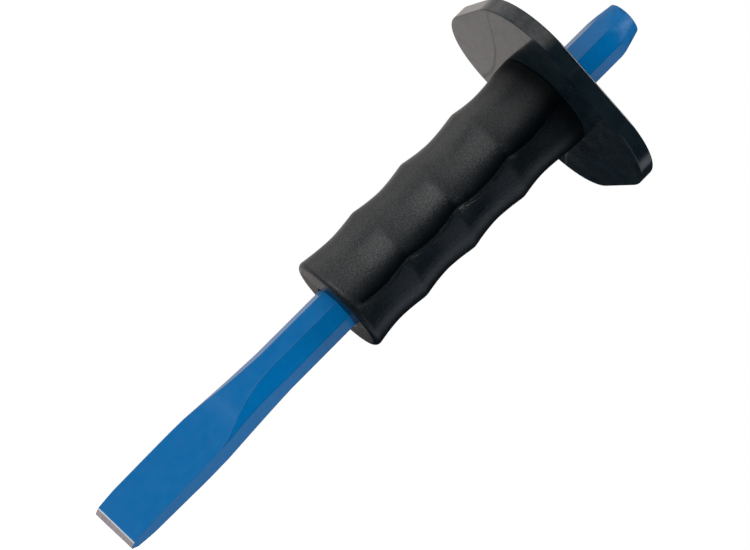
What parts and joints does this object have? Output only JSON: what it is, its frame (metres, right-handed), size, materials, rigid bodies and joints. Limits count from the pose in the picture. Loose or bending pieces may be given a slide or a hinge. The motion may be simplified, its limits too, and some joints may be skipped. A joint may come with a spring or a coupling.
{
  "type": "cold chisel",
  "caption": "Octagonal-bar cold chisel with a flat blade, ground edge, turned struck head, black finger grip and square hand guard.",
  "frame": {"origin": "middle of the cutting edge, on the plane the edge stands on", "axes": "+Z along the shank from the cutting edge to the struck head; X along the cutting edge; Y square to the blade's flats"},
  "size_m": [0.0904, 0.0904, 0.25],
  "materials": {
    "lacquered_steel": "semi-gloss blue lacquer over forged steel, ground bare along the cutting edge",
    "grip_rubber": "black soft moulding with a fine leather grain",
    "guard_rubber": "black smooth moulding with a low sheen"
  },
  "bodies": {
    "chisel": {"cold_chisel": "lacquered_steel"},
    "grip": {"finger_grip": "grip_rubber"},
    "guard": {"hand_guard": "guard_rubber"}
  },
  "joints": [
    {"name": "grip_slide", "type": "slide", "parent": "chisel", "child": "grip", "axis": [0, 0, 1], "range_m": [-0.029, 0.148]},
    {"name": "guard_slide", "type": "slide", "parent": "grip", "child": "guard", "axis": [0, 0, 1], "range_m": [0, 0.044]}
  ]
}
